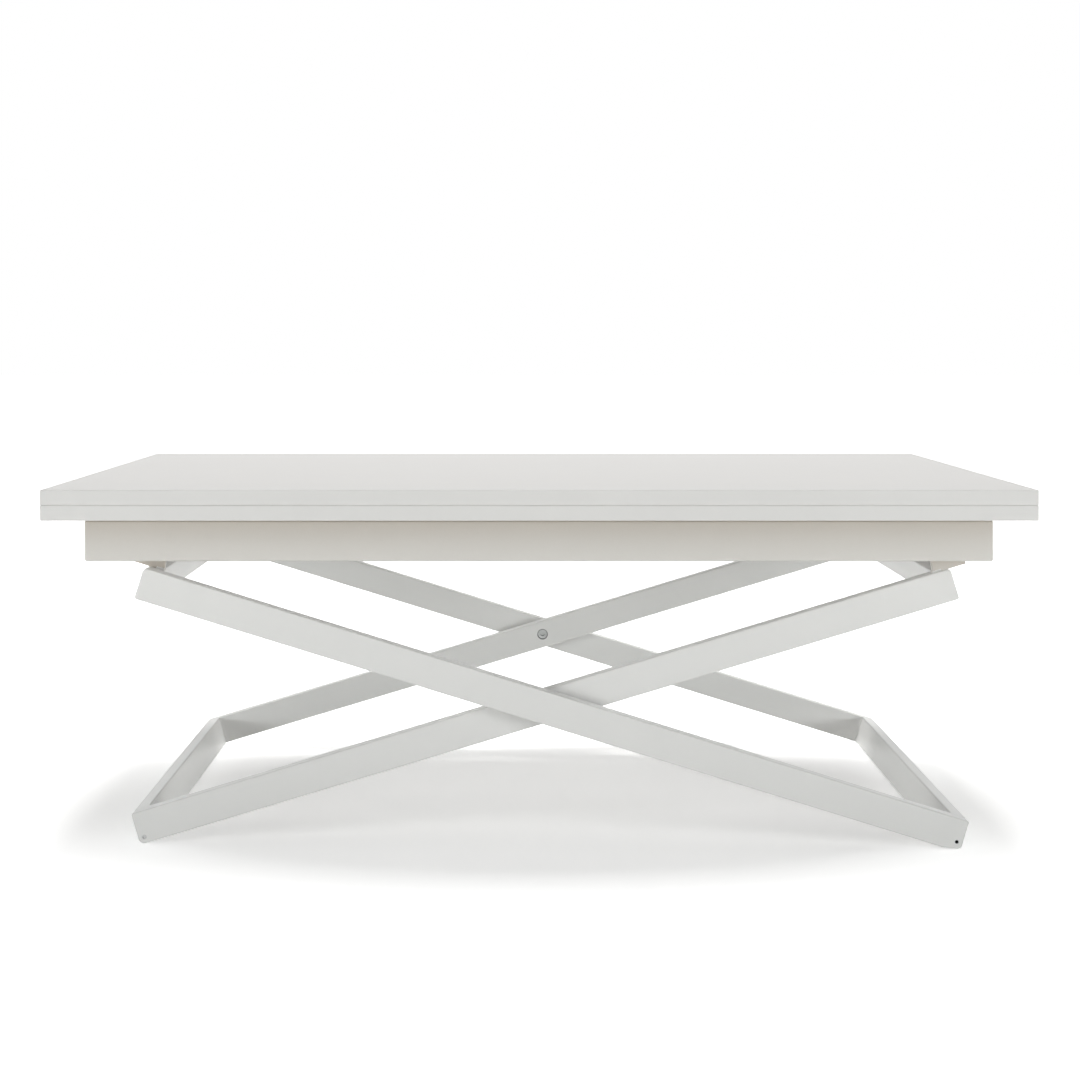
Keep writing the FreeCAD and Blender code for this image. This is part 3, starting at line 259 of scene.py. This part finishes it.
POWDER_COAT = {"swing": 0.06, "peel_scale": 700.0, "peel_depth": 0.00010}
FRAME_WHITE = painted(
    "frame_powder_coat", (0.735, 0.733, 0.721), (0.717, 0.715, 0.703), 0.36, **POWDER_COAT,
    sheen=0.9, shine=0.15,
)
# Apron and lugs: a darker, warmer copy of the frame's white, as painted shade under the top.
SHADED_APRON_WHITE = painted(
    "shaded_apron_powder_coat", (0.630, 0.618, 0.592), (0.618, 0.606, 0.580), 0.46, **POWDER_COAT,
    sheen=0.3, painted_shade=(0.470, 0.428, 0.378),
)
LEAF_LOOK = {
    "pale": (0.706, 0.700, 0.688),
    "deep": (0.698, 0.692, 0.680),
    "roughness": 0.42,
    "swing": 0.02,
    "peel_scale": 1500.0,
    "peel_depth": 0.00002,
    "sheen": 0.05,
    "shine": 0.1,
}
LEAF_WHITE = painted("leaf_lacquer", **LEAF_LOOK)
BACKED_LEAF_WHITE = painted("backed_leaf_lacquer", **LEAF_LOOK, backing=(0.70, 0.682, 0.650))
STEEL = metal("zinc_steel", (0.60, 0.60, 0.60), 0.34, (1.0, 0.06, 1.0))
CHROME = metal("hard_chrome", (0.78, 0.78, 0.79), 0.16, (0.05, 1.0, 1.0))
PIN_STEEL = metal("faced_pin", (0.46, 0.47, 0.465), 0.34, (1.0, 0.3, 1.0))
# Foot pin socket, darkened inside as painted shade.
FOOT_SHADED_SOCKET = (0.512366, 0.009, 0.0022)
FOOT_STEEL = metal("foot_pin", (0.70, 0.71, 0.71), 0.36, (1.0, 0.06, 1.0), socket=FOOT_SHADED_SOCKET)
BLACK = painted(
    "black_enamel", (0.032, 0.032, 0.034), (0.022, 0.022, 0.024), 0.36, 0.07, 900.0, 0.00008
)
WHITE_PLASTIC = moulded("white_nylon", (0.70, 0.695, 0.68), (0.66, 0.655, 0.64), 0.48)
DARK_PLASTIC = moulded("dark_nylon", (0.060, 0.060, 0.062), (0.045, 0.045, 0.047), 0.5)
GREY_PLASTIC = moulded("grey_nylon", (0.20, 0.20, 0.205), (0.16, 0.16, 0.165), 0.5)
CLEAR_PLASTIC = moulded("soft_clear", (0.62, 0.62, 0.60), (0.55, 0.55, 0.53), 0.3)

FINISHES = {
    "leaf_white": LEAF_WHITE,
    "frame_white": FRAME_WHITE,
    "steel": STEEL,
    "chrome": CHROME,
    "black_metal": BLACK,
    "white_plastic": WHITE_PLASTIC,
    "grey_plastic": GREY_PLASTIC,
    "clear_plastic": CLEAR_PLASTIC,
}
# Nodes that take the apron's copy of the white with painted shade.
SHADED_APRON_NODES = (
    "front_rail",
    "rear_rail",
    "left_end_rail",
    "right_end_rail",
    "swivel_beam",
    "outer_lugs",
    "inner_lugs",
)


def dress(node, material):
    mesh = NODES[node].data
    mesh.materials.clear()
    mesh.materials.append(material)


def dress_nodes():
    """Give each CAD node the finish of its slot, and a few nodes a finish of their own."""
    for entry in frame["record"]["subparts"]:
        dress(entry["node"], FINISHES[entry["material_slot"]])
    # The apron and lugs take the copy of the white with painted shade.
    for node in SHADED_APRON_NODES:
        dress(node, SHADED_APRON_WHITE)
    dress("lower_leaf", BACKED_LEAF_WHITE)
    dress("centre_pivot_bushes", DARK_PLASTIC)
    dress("centre_pivot_pins", PIN_STEEL)
    dress("right_foot_axle", FOOT_STEEL)


# Leg frames: each lies in its own tilted plane about the centre pivot. Places on a frame are
# given along it, across the table, and square to it.
CENTRE = (0.012, 0.171646)
TILTS = {"outer": math.radians(17.1), "inner": math.radians(16.7)}
HANDS = {"outer": 1, "inner": -1}
LEG_UP, LEG_DOWN = 0.526, 0.534
LEG_WIDTH, LEG_HALF = 0.020, 0.020
LEG_EDGE = 0.0019
WELD_SIZE = 0.0028
WELD_PITCH = 0.0030
WELD_RIPPLE = 0.06
WELD_STEPS = 48
ARC_STEPS = 8
SINK = 0.0002
CROWN, CROWN_RIPPLE, CROWN_PITCH = 0.00010, 0.00003, 0.0071
CROWN_ENDS, CROWN_FOOT = (-0.0026, 0.0017), -0.00004
CROWN_LINE = ((-0.0017, 0.8), (-0.0002, 1.0), (0.0009, 0.8))
GROUND_MARGIN = 0.003
SHARP_ANGLE = math.radians(40)
LUG_FEET = {"outer": (-0.514, -0.5034), "inner": (-0.514, -0.503)}
LUG_FACES = (0.2745, 0.2825)


def on_leg(leg, along, across, up):
    """Point of a leg frame in the table's own axes."""
    tilt = TILTS[leg]
    x = along * math.cos(tilt) + up * math.sin(tilt)
    z = up * math.cos(tilt) - along * math.sin(tilt)
    return (CENTRE[0] + HANDS[leg] * x, across, CENTRE[1] + z)


def loft(shape, sections):
    """Closed skin through rings of points, with flat ends."""
    rings = [[shape.verts.new(point) for point in section] for section in sections]
    count = len(rings[0])
    for first, second in zip(rings, rings[1:]):
        for i in range(count):
            j = (i + 1) % count
            shape.faces.new((first[i], first[j], second[j], second[i]))
    shape.faces.new(rings[0])
    shape.faces.new(rings[-1])


def piece(name, shape, body, material):
    """Finish a mesh piece and let it ride on a body."""
    bmesh.ops.recalc_face_normals(shape, faces=shape.faces)
    mesh = bpy.data.meshes.new(name)
    shape.to_mesh(mesh)
    shape.free()
    mesh.shade_smooth()
    mesh.set_sharp_from_angle(angle=SHARP_ANGLE)
    mesh.materials.append(material)
    made = bpy.data.objects.new(name, mesh)
    bpy.context.scene.collection.objects.link(made)
    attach(made, body)


def swept(shape, leg, start, end, first, second, profile):
    """Skin of a profile that changes along a straight line on a leg frame.

    The profile gives (reach along first, reach along second) pairs for a distance from the start.
    """
    start, end, first, second = (Vector(v) for v in (start, end, first, second))
    length = (end - start).length
    sections = []
    for step in range(WELD_STEPS + 1):
        share = step / WELD_STEPS
        foot = start.lerp(end, share)
        ring = [foot + a * first + b * second for a, b in profile(share * length)]
        sections.append([on_leg(leg, *point) for point in ring])
    loft(shape, sections)


def bead(place):
    """Hollow weld bead under paint, in the corner between two faces."""
    size = WELD_SIZE * (1 + WELD_RIPPLE * math.sin(2 * math.pi * place / WELD_PITCH))
    ring = [(-SINK, -SINK), (size, -SINK)]
    for turn in range(ARC_STEPS + 1):
        angle = math.pi / 2 * turn / ARC_STEPS
        ring.append((size * (1 - math.sin(angle)), size * (1 - math.cos(angle))))
    ring.append((-SINK, size))
    return ring


def ground(place):
    """Weld ground flush: it fills the rounded edge of the long tube beside the cross tube."""
    crown = CROWN + CROWN_RIPPLE * math.sin(2 * math.pi * place / CROWN_PITCH)
    radius = LEG_EDGE - SINK
    ring = []
    for turn in range(ARC_STEPS + 1):
        angle = math.pi / 2 * turn / ARC_STEPS
        ring.append((-LEG_EDGE + radius * math.cos(angle), -LEG_EDGE + radius * math.sin(angle)))
    start, end = CROWN_ENDS
    ring.append((start, CROWN_FOOT))
    ring += [(reach, crown * share) for reach, share in CROWN_LINE]
    ring += [(end, CROWN_FOOT), (SINK, -LEG_EDGE)]
    return ring


def leg_welds(leg):
    """Beads and ground joints at the four corners of a leg frame, and beads round its lugs."""
    shape = bmesh.new()
    inside = abs(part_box(f"{leg}_front_beam")[1].y)
    reach = LEG_HALF - LEG_EDGE
    for side in (-1, 1):
        across = side * inside
        inwards = (0, -side, 0)
        for end, into in ((LEG_DOWN, -1), (-LEG_UP, 1)):
            corner = end + into * LEG_WIDTH
            ends = [(corner, across, v) for v in (-reach, reach)]
            swept(shape, leg, *ends, (into, 0, 0), inwards, bead)
            ends = [(u, across, LEG_HALF) for u in (corner, end + into * GROUND_MARGIN)]
            swept(shape, leg, *ends, inwards, (0, 0, 1), ground)
            ends = [(end, across, v) for v in (0.0, LEG_HALF - GROUND_MARGIN)]
            swept(shape, leg, *ends, inwards, (-into, 0, 0), ground)
        for face, away in zip(LUG_FACES, (-side, side)):
            ends = [(u, side * face, LEG_HALF) for u in LUG_FEET[leg]]
            swept(shape, leg, *ends, (0, away, 0), (0, 0, 1), bead)
    piece(f"{leg}_welds", shape, f"{leg}_legs", FRAME_WHITE)


# Soft seal between the leaves, set back from their front and side edges.
SEAL_SETBACK = 0.0010
SEAL_WIDTH = 0.0035
SEAL_GAP = 0.00005
SEAL_REAR = 0.300


def leaf_seal():
    """Thin white lip on the lower leaf that closes the slit along three edges."""
    low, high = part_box("lower_leaf")
    floor = high.z - SINK / 4
    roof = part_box("upper_leaf")[0].z - SEAL_GAP
    middle = (floor + roof) / 2
    lip = (roof - floor) / 4
    outline = (
        (SEAL_SETBACK + lip, floor),
        (SEAL_SETBACK, middle - lip),
        (SEAL_SETBACK, middle + lip),
        (SEAL_SETBACK + lip, roof),
        (SEAL_SETBACK + SEAL_WIDTH, roof),
        (SEAL_SETBACK + SEAL_WIDTH, floor),
    )
    sections = [
        [(low.x + inset, SEAL_REAR, z) for inset, z in outline],
        [(low.x + inset, low.y + inset, z) for inset, z in outline],
        [(high.x - inset, low.y + inset, z) for inset, z in outline],
        [(high.x - inset, SEAL_REAR, z) for inset, z in outline],
    ]
    shape = bmesh.new()
    loft(shape, sections)
    piece("leaf_seal", shape, "lower_top", WHITE_PLASTIC)


def seen_rays(tree):
    """1 for rays that show the surface itself: straight, mirrored or through something clear."""
    path = tree.nodes.new("ShaderNodeLightPath")
    mirrored = tree.nodes.new("ShaderNodeMath")
    mirrored.operation = "MAXIMUM"
    link(tree, path.outputs["Is Camera Ray"], mirrored.inputs[0])
    link(tree, path.outputs["Is Glossy Ray"], mirrored.inputs[1])
    seen = tree.nodes.new("ShaderNodeMath")
    seen.operation = "MAXIMUM"
    link(tree, mirrored.outputs["Value"], seen.inputs[0])
    link(tree, path.outputs["Is Transmission Ray"], seen.inputs[1])
    return seen.outputs["Value"]


def studio_floor():
    """Pale floor that shows white to the camera and keeps the table's soft shadow."""
    mesh = bpy.data.meshes.new("studio_floor")
    half = FLOOR_SIZE / 2
    corners = [(-half, -half, 0), (half, -half, 0), (half, half, 0), (-half, half, 0)]
    mesh.from_pydata(corners, [], [(0, 1, 2, 3)])
    floor = bpy.data.objects.new("studio_floor", mesh)
    bpy.context.scene.collection.objects.link(floor)
    material, tree, shader = new_material("pale_floor")
    here = object_coordinates(tree)
    tone = remap(tree, noise(tree, here, FLOOR_SCALE, 2.0), 0.0, 1.0, *FLOOR_SPAN)
    bare = mix_colour(tree, tone, FLOOR_DEEP, FLOOR_PALE)
    seen = seen_rays(tree)
    shown = (FLOOR_SEEN, FLOOR_SEEN, FLOOR_SEEN)
    link(tree, mix_colour(tree, seen, bare, shown), shader.inputs["Base Color"])
    shader.inputs["Roughness"].default_value = FLOOR_ROUGHNESS
    shader.inputs["Specular IOR Level"].default_value = 0.0
    shader.inputs["Emission Color"].default_value = (1.0, 1.0, 1.0, 1.0)
    away = tree.nodes.new("ShaderNodeVectorMath")
    away.operation = "MULTIPLY_ADD"
    away.inputs[1].default_value = FLOOR_SQUEEZE
    away.inputs[2].default_value = FLOOR_SHIFT
    link(tree, here, away.inputs[0])
    reach = tree.nodes.new("ShaderNodeVectorMath")
    reach.operation = "LENGTH"
    link(tree, away.outputs["Vector"], reach.inputs[0])
    glow = tree.nodes.new("ShaderNodeMath")
    glow.operation = "MULTIPLY"
    link(tree, remap(tree, reach.outputs["Value"], FLOOR_GLOW, 1.0, *FLOOR_FADE), glow.inputs[0])
    link(tree, seen, glow.inputs[1])
    link(tree, glow.outputs["Value"], shader.inputs["Emission Strength"])
    mesh.materials.append(material)


def studio_world():
    """White surround, brightest along the horizon like studio walls, plain white to the camera."""
    world = bpy.data.worlds.new("studio")
    world.use_nodes = True
    tree = world.node_tree
    background = tree.nodes["Background"]
    background.inputs["Color"].default_value = (1.0, 1.0, 1.0, 1.0)
    direction = tree.nodes.new("ShaderNodeSeparateXYZ")
    around = tree.nodes.new("ShaderNodeTexCoord").outputs["Generated"]
    link(tree, around, direction.inputs["Vector"])
    lit = remap(tree, direction.outputs["Z"], HORIZON_STRENGTH, ZENITH_STRENGTH, 0.0, HIGH_SURROUND)
    strength = tree.nodes.new("ShaderNodeMix")
    link(tree, seen_rays(tree), strength.inputs["Factor"])
    link(tree, lit, strength.inputs["A"])
    strength.inputs["B"].default_value = 1.0
    link(tree, strength.outputs["Result"], background.inputs["Strength"])
    bpy.context.scene.world = world


def softbox(name, place, size, power, colour):
    """Soft lamp of a given width and height, turned to the table."""
    lamp = bpy.data.lights.new(name, "AREA")
    lamp.shape = "RECTANGLE"
    lamp.size, lamp.size_y = size
    lamp.energy = power
    lamp.color = colour
    holder = bpy.data.objects.new(name, lamp)
    holder.location = place
    holder.rotation_euler = (Vector(LAMP_AIM) - Vector(place)).to_track_quat("-Z", "Y").to_euler()
    bpy.context.scene.collection.objects.link(holder)


def studio_camera():
    """Level camera with the photograph's framing."""
    camera = bpy.data.cameras.new("camera")
    camera.sensor_width = SENSOR_MM
    camera.lens = FOCAL_PX / IMAGE_PX * SENSOR_MM
    centre = IMAGE_PX / 2
    camera.shift_x = (centre - PRINCIPAL_PX[0]) / IMAGE_PX
    camera.shift_y = (PRINCIPAL_PX[1] - centre) / IMAGE_PX
    holder = bpy.data.objects.new("camera", camera)
    holder.location = CAMERA_PLACE
    holder.rotation_euler = (math.radians(90), 0, 0)
    bpy.context.scene.collection.objects.link(holder)
    bpy.context.scene.camera = holder


dress_nodes()
for leg in TILTS:
    leg_welds(leg)
leaf_seal()
studio_floor()
studio_world()
softbox("overhead", OVERHEAD_PLACE, OVERHEAD_SIZE, OVERHEAD_POWER, LAMP_WHITE)
softbox("front", FRONT_PLACE, FRONT_SIZE, FRONT_POWER, LAMP_WHITE)
for hand, side in (("left", -1), ("right", 1)):
    x, y, z = FRONT_FILL_PLACE
    softbox(f"front_{hand}_fill", (side * x, y, z), FILL_SIZE, FRONT_FILL_POWER, FILL_WHITE)
    x, y, z = REAR_FILL_PLACE
    softbox(f"rear_{hand}_fill", (side * x, y, z), FILL_SIZE, REAR_FILL_POWER, FILL_WHITE)
studio_camera()
bpy.context.scene.view_settings.view_transform = "Standard"
